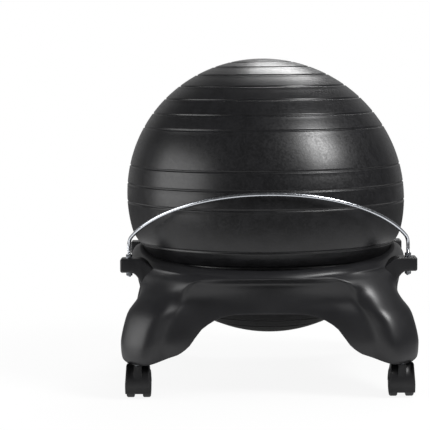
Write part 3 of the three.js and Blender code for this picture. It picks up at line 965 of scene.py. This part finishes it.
def full_base():
    """Base with its lugs, the holes for the bar and the sockets for the sleeves."""
    steps = []
    for side in (-1, 1):
        steps += [("UNION", lug_mesh(side, end)) for end in (-1, 1)]
        steps.append(("DIFFERENCE", post_hole(side)))
    steps += [("DIFFERENCE", sleeve_socket(corner)) for corner in CORNERS]
    return combined(base_mesh(), steps)


# Support bar.


def bar_half_path():
    """Centre line of the right half: the thread, and the rest up to the middle of the arch."""
    bend_points = 16
    arch_points = 90
    plain_shares = (0.1, 0.4, 0.7)
    thread_height = 14 * MM
    bar = settings().bar
    low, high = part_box("support_bar")
    knee = Vector((BAR_POST.x, BAR_POST.y, LUG_TOP + bar.post_height))
    apex = Vector((0, low.y + bar.rod_radius, high.z - bar.rod_radius))
    slope = Vector((0, apex.y - knee.y, apex.z - knee.z))

    def on_arch(span_share, slope_share):
        return Vector((BAR_POST.x * span_share, knee.y, knee.z)) + slope * slope_share

    handles = [on_arch(*shares) for shares in BAR_HANDLE_SHARES]
    below = knee - bar.bend * UP
    away = knee + (handles[0] - knee).normalized() * bar.bend
    bend = interpolate_bezier(below, below.lerp(knee, 2 / 3), away.lerp(knee, 2 / 3), away, bend_points)
    arch = interpolate_bezier(away, *handles, apex, arch_points)
    foot = Vector((BAR_POST.x, BAR_POST.y, low.z))
    thread_top = Vector((BAR_POST.x, BAR_POST.y, LUG_TOP + thread_height))
    count = round((thread_top.z - foot.z) / bar.thread_pitch * THREAD_STEPS)
    thread = [foot.lerp(thread_top, i / count) for i in range(count + 1)]
    plain = [thread[-1].lerp(below, share) for share in plain_shares]
    return thread, plain + bend + arch[1:]


def bar_mesh():
    """Round rod along the whole path, with a thread that fades in and out at both ends."""
    sides = 18
    end_chamfer = 0.7 * MM
    chamfer_steps = 4
    fade_in = 6
    fade_out = 12
    bar = settings().bar
    thread, rest = bar_half_path()
    half = thread + rest
    path = half + [Vector((-point.x, point.y, point.z)) for point in reversed(half[:-1])]
    last = len(path) - 1
    across = Vector((0, 1, 0))
    rings = []
    for i, point in enumerate(path):
        tangent = (path[min(i + 1, last)] - path[max(i - 1, 0)]).normalized()
        across = (across - tangent * across.dot(tangent)).normalized()
        other = tangent.cross(across)
        end_place = min(i, last - i)
        fade = min(1, (len(thread) - 1 - end_place) / fade_out, (end_place + 1) / fade_in)
        depth = max(fade, 0) * bar.thread_depth
        chamfer = end_chamfer * max(1 - end_place / chamfer_steps, 0)
        ring = []
        for j in range(sides):
            angle = 2 * math.pi * j / sides
            turn = 2 * math.pi * (end_place / THREAD_STEPS + j / sides)
            radius = bar.rod_radius - depth * (1 + math.cos(turn)) / 2 - chamfer
            ring.append(point + radius * (math.cos(angle) * across + math.sin(angle) * other))
        rings.append(ring)
    return closed_tube(rings)


def nut_mesh(node):
    """Hexagon nut with chamfered corners and a plain bore, in a frame nut's place."""
    flat_share = 0.86
    margin = 0.5 * MM
    chamfer = 1.1 * MM
    bore_radius = 3.5 * MM
    place, dimensions = middle(node), size(node)
    corner = dimensions.x / 2
    half = dimensions.z / 2
    bm = bmesh.new()
    bmesh.ops.create_cone(
        bm, cap_ends=True, cap_tris=False, segments=6, radius1=corner, radius2=corner, depth=2 * half,
        matrix=Matrix.Rotation(math.pi / 6, 4, "Z"),
    )
    disc = [
        (0, -half), (corner * flat_share, -half), (corner + margin, -half + chamfer),
        (corner + margin, half - chamfer), (corner * flat_share, half), (0, half),
    ]
    bore = rod_profile(bore_radius, -half - OVERRUN, half + OVERRUN, CUT_EDGE)
    bm = combined(bm, [("INTERSECT", spun(disc, 48)), ("DIFFERENCE", spun(bore, 32))])
    return moved(bm, Matrix.Translation(place))


def washer_mesh(node):
    edge = 0.25 * MM
    bore = 3.8 * MM
    place, dimensions = middle(node), size(node)
    half = dimensions.z / 2
    rim = rod_profile(dimensions.x / 2, -half, half, edge)[1:-1]
    return moved(spun([(bore, -half), *rim, (bore, half), (bore, -half)], 48), Matrix.Translation(place))


# Casters. Each is drawn with the stem on the Z axis and the wheels trailing towards +Y.


def sleeve_mesh(corner):
    """Sleeve with a flange that lies against the sole."""
    edge = 0.5 * MM
    radius = 8 * MM
    flange_height = 1.4 * MM
    bore = settings().caster.stem_bore
    low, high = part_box(f"{corner}_caster_sleeve")
    flange = (high.x - low.x) / 2
    flange_top = low.z + flange_height
    return spun([
        (bore, low.z), (flange - edge, low.z), (flange, low.z + edge), (flange, flange_top),
        (radius, flange_top), (radius, high.z), (bore, high.z), (bore, low.z),
    ], 48)


def stem_mesh(corner):
    """Stem with a collar just under the sleeve."""
    shaft = 4 * MM
    collar_gap = 0.3 * MM
    collar_height = 1.6 * MM
    edge = 0.3 * MM
    point = MM
    low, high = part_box(f"{corner}_caster_stem")
    collar = (high.x - low.x) / 2
    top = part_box(f"{corner}_caster_sleeve")[0].z - collar_gap
    bottom = top - collar_height
    return spun([
        (0, low.z), (shaft, low.z), (shaft, bottom), (collar - edge, bottom), (collar, bottom + edge),
        (collar, top - edge), (collar - edge, top), (shaft, top),
        (shaft, high.z - point), (shaft - point, high.z), (0, high.z),
    ], 40)


def cross_rod(radius, back, up, width, edge=0.2 * MM, steps=32):
    """Rod across X, centred, at a place behind the stem and above the floor."""
    rod = spun(rod_profile(radius, -width / 2, width / 2, edge), steps)
    return moved(rod, Matrix.Translation((0, back, up)) @ Matrix.Rotation(math.pi / 2, 4, "Y"))


def hood_shell(corner, outer, inner, axle):
    """Fender over both wheels with raised cheeks, narrower towards its top and its back."""
    cheek_half = 9 * MM
    cheek_rise = 1.7 * MM
    edge = 0.9 * MM
    top_taper = 0.11
    back_taper = 0.07
    front_end = math.radians(62)
    back_end = -math.radians(6)
    low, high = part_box(f"{corner}_caster_hood")
    dip = math.asin(min(1, (axle.y - low.z) / outer))
    shoulder = high.z + cheek_rise
    outline = arc(outer, back_end, front_end, 14, axle)
    outline += [(cheek_half, shoulder), (-cheek_half, shoulder)]
    outline += arc(outer, math.pi, math.pi + dip, 6, axle)
    outline += arc(inner, math.pi + dip, back_end, 26, axle)
    shell = prism(outline, high.x - low.x, edge)
    for vert in shell.verts:
        taper = smooth_step((vert.co.z - axle.y) / (high.z - axle.y))
        narrowing = smooth_step((vert.co.y - axle.x / 2) / outer)
        vert.co.x *= 1 - top_taper * taper - back_taper * narrowing
    return shell, dip


def brake_slot(corner, top, web_width):
    """Cutters for a brake's lever and its pin."""
    gap = 0.6 * MM
    slot_depth = 6 * MM
    slot_length = 40 * MM
    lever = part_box(f"{corner}_brake_lever")
    stem = middle(f"{corner}_caster_stem")
    pin = middle(f"{corner}_brake_pin")
    start = lever[0].y - stem.y - gap
    end = start + slot_length
    bottom = lever[0].z - slot_depth
    outline = [(start, bottom), (end, bottom), (end, top), (start, top)]
    slot = prism(outline, size(f"{corner}_brake_lever").x + 2 * gap, 0)
    bore = cross_rod(settings().caster.pin_bore, pin.y - stem.y, pin.z, web_width + MM, CUT_EDGE, 16)
    return [("DIFFERENCE", slot), ("DIFFERENCE", bore)]


def hood_mesh(corner):
    """Hood with a web between the wheels, a boss round the stem and a recess on each side of it."""
    web_gap = 0.3 * MM
    web_inset = 0.2 * MM
    web_edge = 0.5 * MM
    boss_edge = 0.6 * MM
    nose_inset = 0.2 * MM
    nose_reach = 2.8 * MM
    bore_depth = 24 * MM
    recess_width = 11.5 * MM
    recess_edge = 0.8 * MM
    recess_end = 10 * MM
    saddle_half = 14 * MM
    saddle_width = 17 * MM
    caster = settings().caster
    low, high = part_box(f"{corner}_caster_hood")
    radius = size(f"{corner}_wheel_left").z / 2
    axle = Vector((caster.trail, radius))
    inner = radius + caster.hood_gap
    outer = inner + caster.hood_wall
    above = high.z + OVERRUN
    shell, dip = hood_shell(corner, outer, inner, axle)

    half_web = abs(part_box(f"{corner}_wheel_right")[0].x - middle(f"{corner}_caster_stem").x) - web_gap
    web = prism(arc(outer - web_inset, -dip, math.pi + dip, 26, axle), 2 * half_web, web_edge)
    steps = [("UNION", web)]
    floor = [(back * MM, radius + up * MM) for back, up in RECESS_FLOOR]
    for side in (-1, 1):
        recess = prism([*floor, (recess_end, above), (floor[0][0], above)], recess_width, recess_edge)
        across = side * (caster.boss_radius + recess_width / 2)
        steps.append(("DIFFERENCE", moved(recess, Matrix.Translation((across, 0, 0)))))
    saddle = [(-saddle_half, high.z), (saddle_half, high.z), (saddle_half, above), (-saddle_half, above)]
    steps.append(("DIFFERENCE", prism(saddle, saddle_width, 0)))
    boss = spun(rod_profile(caster.boss_radius, radius, high.z, boss_edge), 40)
    nose = spun(rod_profile(caster.boss_radius - nose_inset, radius, high.z, boss_edge), 40)
    steps.append(("UNION", boss))
    steps.append(("UNION", moved(nose, Matrix.Translation((0, -nose_reach, 0)))))
    bore = spun(rod_profile(caster.stem_bore, high.z - bore_depth, above, CUT_EDGE), 32)
    steps.append(("DIFFERENCE", bore))
    axle_bore = cross_rod(caster.axle_bore, axle.x, axle.y, high.x - low.x + 2 * OVERRUN)
    steps.append(("DIFFERENCE", axle_bore))
    if corner.startswith("rear"):
        steps += brake_slot(corner, above, 2 * half_web)
    return combined(shell, steps)


def wheel_mesh(corner, side_name):
    """Wheel with a rounded tread, a dished outer face and a raised hub cap."""
    edge = 3 * MM
    edge_steps = 5
    bore = settings().caster.axle_bore
    node = f"{corner}_wheel_{side_name}"
    place, dimensions = middle(node), size(node)
    radius, half = dimensions.z / 2, dimensions.x / 2
    profile = [(bore, -half)]
    profile += [(radius - inset * MM, -half + rise * MM) for inset, rise in WHEEL_BACK]
    profile += arc(edge, 0, math.pi / 2, edge_steps, (radius - edge, half - edge))
    profile += [(radius - inset * MM, half - depth * MM) for inset, depth in WHEEL_DISH]
    profile += [(reach * MM, half - depth * MM) for reach, depth in WHEEL_HUB]
    profile += [(bore, half), (bore, -half)]
    outwards = -1 if side_name == "left" else 1
    turn = Matrix.Rotation(outwards * math.pi / 2, 4, "Y")
    return moved(spun(profile, 72), Matrix.Translation(place) @ turn)


def cross_pin(node, edge, steps):
    """Plain rod across X in a frame node's place."""
    place, dimensions = middle(node), size(node)
    rod = spun(rod_profile(dimensions.z / 2, -dimensions.x / 2, dimensions.x / 2, edge), steps)
    return moved(rod, Matrix.Translation(place) @ Matrix.Rotation(math.pi / 2, 4, "Y"))


def brake_lever_mesh(corner):
    """Pedal with grip ribs on its tail, round the pin."""
    edge = 0.4 * MM
    tail_step = 2 * MM
    tail_slope = 0.6 * MM
    tail_crest = 2.2 * MM
    neck = 4 * MM
    neck_share = 0.8
    rib_radius = 0.45 * MM
    rib_width = 7 * MM
    low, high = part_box(f"{corner}_brake_lever")
    pin = middle(f"{corner}_brake_pin")
    stem = middle(f"{corner}_caster_stem")
    half = (high.z - low.z) / 2
    tail = high.y - stem.y
    eye = pin.y - stem.y
    outline = arc(half, math.radians(70), math.radians(230), 10, (eye, pin.z))
    outline += [
        (eye, low.z), (tail - tail_step, low.z), (tail - edge, low.z + tail_slope), (tail, pin.z),
        (tail - tail_crest, pin.z + half / 2), (eye + neck, pin.z + half * neck_share),
    ]
    steps = []
    for inset, share in PEDAL_RIBS:
        rib = cross_rod(rib_radius, tail - inset * MM, pin.z + half * share, rib_width, CUT_EDGE, 12)
        steps.append(("UNION", rib))
    bore = cross_rod(settings().caster.pin_bore, eye, pin.z, high.x - low.x + 2 * OVERRUN, CUT_EDGE, 16)
    steps.append(("DIFFERENCE", bore))
    return combined(prism(outline, high.x - low.x, edge), steps)


def at_stem(bm, corner):
    """Piece moved from the drawing axis to a caster's stem."""
    stem = middle(f"{corner}_caster_stem")
    return moved(bm, Matrix.Translation((stem.x, stem.y, 0)))


# Stage.


def soft_light(name, strength, width, height, away):
    """Rectangular softbox that faces the ball from a place away from its middle."""
    lamp = bpy.data.lights.new(name, "AREA")
    lamp.energy = strength
    lamp.shape = "RECTANGLE"
    lamp.size = width
    lamp.size_y = height
    light = bpy.data.objects.new(name, lamp)
    light.location = BALL_MIDDLE + away
    light.rotation_euler = (-away).to_track_quat("-Z", "Y").to_euler()
    light.visible_camera = False
    bpy.context.scene.collection.objects.link(light)


def light_path(shader, name):
    return shader.node("ShaderNodeLightPath", output=name)


def studio_floor(shader):
    """White where it is looked at, but for the chair's shadow. In reflections it shows a painted pool of
    light round the chair, with a painted shadow under it.
    """
    pale = shader.node("ShaderNodeBsdfDiffuse", {"Color": (0.9, 0.9, 0.9, 1)})
    place = shader.node("ShaderNodeTexCoord", output="Object")
    oval = shader.node("ShaderNodeVectorMath", {0: place, 1: (0.75, 1, 1)}, operation="MULTIPLY")
    away = shader.node("ShaderNodeVectorMath", {0: oval}, output="Value", operation="LENGTH")
    looked_at = light_path(shader, "Is Camera Ray") + light_path(shader, "Is Transmission Ray")
    reflected = light_path(shader, "Is Glossy Ray")
    # Painted light for reflections: a painted shadow under the chair, a painted pool of light round it,
    # dimmer further off.
    painted_pool_and_shadow = shader.between(away, 0.2, 0.4, 0.1, 1) * shader.between(away, 0.45, 1.0, 1, 0.12)
    white = shader.node("ShaderNodeEmission", {
        "Color": (1, 1, 1, 1),
        "Strength": looked_at + reflected * painted_pool_and_shadow,
    })
    seen = looked_at * shader.between(away, 0.4, 0.9, 0.9, 1) + reflected
    blend = shader.node("ShaderNodeMixShader", {0: seen, 1: pale, 2: white})
    shader.node("ShaderNodeOutputMaterial", {"Surface": blend})


def studio_world(shader):
    """White where it is looked at. Reflections show it white behind the chair and dim in front."""
    stage = settings().stage
    direction = shader.node("ShaderNodeTexCoord", output="Generated")
    backwards = shader.node("ShaderNodeSeparateXYZ", {0: direction}, output="Y")
    reflected = shader.between(backwards, 0.5, 0.95, stage.front_glow, stage.back_glow)
    strength = light_path(shader, "Is Camera Ray") + light_path(shader, "Is Transmission Ray")
    strength = strength + light_path(shader, "Is Glossy Ray") * reflected
    strength = strength + light_path(shader, "Is Diffuse Ray") * stage.ambient
    glow = shader.node("ShaderNodeBackground", {"Color": (1, 1, 1, 1), "Strength": strength})
    shader.node("ShaderNodeOutputWorld", {"Surface": glow})


def add_world():
    world = bpy.data.worlds.new("studio")
    world.use_nodes = True
    studio_world(Shader(world.node_tree))
    bpy.context.scene.world = world


def add_floor():
    bm = bmesh.new()
    bmesh.ops.create_grid(bm, x_segments=1, y_segments=1, size=4)
    mesh = bpy.data.meshes.new("floor")
    bm.to_mesh(mesh)
    bm.free()
    mesh.materials.append(finish(studio_floor))
    floor = bpy.data.objects.new("floor", mesh)
    bpy.context.scene.collection.objects.link(floor)


def add_camera():
    """Camera in front of the chair, a little to its left and looking slightly down."""
    turn_round = math.radians(0.9)
    camera_heading = math.radians(0.972)
    pitch = math.radians(5.42)
    roll = math.radians(-0.5)
    stage = settings().stage
    camera_data = bpy.data.cameras.new("camera")
    camera_data.lens = stage.lens
    camera_data.sensor_width = 36
    camera = bpy.data.objects.new("camera", camera_data)
    place = -stage.camera_distance * Vector((math.sin(turn_round), math.cos(turn_round), 0))
    camera.location = place + stage.camera_height * UP
    turn = Matrix.Rotation(camera_heading, 4, "Z") @ Matrix.Rotation(math.pi / 2 - pitch, 4, "X")
    camera.rotation_euler = (turn @ Matrix.Rotation(roll, 4, "Z")).to_euler()
    bpy.context.scene.collection.objects.link(camera)
    bpy.context.scene.camera = camera


def add_stage():
    """White studio with three softboxes and the camera."""
    stage = settings().stage
    bpy.context.scene.view_settings.view_transform = "Standard"
    add_world()
    add_floor()
    for name, strength, width, height, direction, distance in SOFTBOXES:
        soft_light(name, getattr(stage, strength), width, height, direction * distance)
    add_camera()


# Operators, one for each piece or group of like pieces.


class BALLCHAIR_OT_stage(bpy.types.Operator):
    """Adds the floor, the soft light and the camera"""

    bl_idname = "ball_chair.stage"
    bl_label = "Stage"

    def execute(self, context):
        add_stage()
        return {"FINISHED"}


class BALLCHAIR_OT_ball(bpy.types.Operator):
    """Adds the grooved ball and its valve plug"""

    bl_idname = "ball_chair.ball"
    bl_label = "Ball"

    def execute(self, context):
        ball = add_piece("ball", ball_mesh(), "ball", ["ball_skin"], "ball_vinyl", 60)
        add_piece("valve_plug", plug_mesh(), "plug", ["ball_plug"], "plug_plastic")
        return {"FINISHED"}


class BALLCHAIR_OT_base(bpy.types.Operator):
    """Adds the moulded base with its legs and lugs"""

    bl_idname = "ball_chair.base"
    bl_label = "Base"

    def execute(self, context):
        add_piece("base", full_base(), "base", ["base_shell"], "base_plastic")
        return {"FINISHED"}


class BALLCHAIR_OT_bar(bpy.types.Operator):
    """Adds the bent support bar with its nuts and washers"""

    bl_idname = "ball_chair.bar"
    bl_label = "Support Bar"

    def execute(self, context):
        add_piece("bar", bar_mesh(), "base", ["support_bar"], "zinc_steel", 60)
        for side_name in SIDES:
            for level in ("upper", "lower"):
                nut = f"{level}_nut_{side_name}"
                washer = f"{level}_washer_{side_name}"
                nut_node, washer_node = f"bar_{nut}", f"bar_{washer}"
                add_piece(nut, nut_mesh(nut_node), "base", [nut_node], "zinc_steel", 25)
                add_piece(washer, washer_mesh(washer_node), "base", [washer_node], "zinc_steel")
        return {"FINISHED"}


class BALLCHAIR_OT_casters(bpy.types.Operator):
    """Adds the four casters with their sleeves, stems, hoods, axles and wheels"""

    bl_idname = "ball_chair.casters"
    bl_label = "Casters"

    def execute(self, context):
        for corner in CORNERS:
            body = f"{corner}_caster"
            sleeve = at_stem(sleeve_mesh(corner), corner)
            add_piece(f"{corner}_sleeve", sleeve, "base", [f"{body}_sleeve"], "caster_plastic")
            stem = at_stem(stem_mesh(corner), corner)
            add_piece(f"{corner}_stem", stem, body, [f"{body}_stem"], "zinc_steel")
            hood = at_stem(hood_mesh(corner), corner)
            add_piece(f"{corner}_hood", hood, body, [f"{body}_hood"], "caster_plastic", 30)
            axle = cross_pin(f"{body}_axle", 0.4 * MM, 32)
            add_piece(f"{corner}_axle", axle, body, [f"{body}_axle"], "zinc_steel")
            for side_name in SIDES:
                wheel = wheel_mesh(corner, side_name)
                wheel_body = f"{corner}_{side_name}_wheel"
                node = f"{corner}_wheel_{side_name}"
                add_piece(f"{corner}_{side_name}_tread", wheel, wheel_body, [node], "wheel_nylon", 30)
        return {"FINISHED"}


class BALLCHAIR_OT_brakes(bpy.types.Operator):
    """Adds the foot brakes of the rear casters"""

    bl_idname = "ball_chair.brakes"
    bl_label = "Brakes"

    def execute(self, context):
        for corner in CORNERS[2:]:
            brake = f"{corner}_brake"
            lever = at_stem(brake_lever_mesh(corner), corner)
            add_piece(f"{corner}_pedal", lever, brake, [f"{brake}_lever"], "wheel_nylon", 30)
            pin = cross_pin(f"{brake}_pin", 0.2 * MM, 20)
            add_piece(f"{corner}_pedal_pin", pin, f"{corner}_caster", [f"{brake}_pin"], "zinc_steel")
        return {"FINISHED"}


class BALLCHAIR_PT_panel(bpy.types.Panel):
    """Lists the chair's operators and settings"""

    bl_idname = "BALLCHAIR_PT_panel"
    bl_label = "Balance Ball Chair"
    bl_space_type = "VIEW_3D"
    bl_region_type = "UI"
    bl_category = "Ball Chair"

    def draw(self, context):
        for step in STEPS:
            self.layout.operator(step.bl_idname)
        chair = context.scene.ball_chair
        for group in (chair.ball, chair.base, chair.bar, chair.caster, chair.stage):
            box = self.layout.box()
            for name in group.__annotations__:
                box.prop(group, name)


GROUPS = (BallSettings, BaseSettings, BarSettings, CasterSettings, StageSettings, ChairSettings)
STEPS = (
    BALLCHAIR_OT_stage,
    BALLCHAIR_OT_ball,
    BALLCHAIR_OT_base,
    BALLCHAIR_OT_bar,
    BALLCHAIR_OT_casters,
    BALLCHAIR_OT_brakes,
)


def register():
    for item in (*GROUPS, *STEPS, BALLCHAIR_PT_panel):
        bpy.utils.register_class(item)
    bpy.types.Scene.ball_chair = bpy.props.PointerProperty(type=ChairSettings)


def unregister():
    del bpy.types.Scene.ball_chair
    for item in (BALLCHAIR_PT_panel, *reversed(STEPS), *reversed(GROUPS)):
        bpy.utils.unregister_class(item)


def main():
    register()
    bpy.ops.ball_chair.stage()
    bpy.ops.ball_chair.ball()
    bpy.ops.ball_chair.base()
    bpy.ops.ball_chair.bar()
    bpy.ops.ball_chair.casters()
    bpy.ops.ball_chair.brakes()


if __name__ == "__main__":
    main()
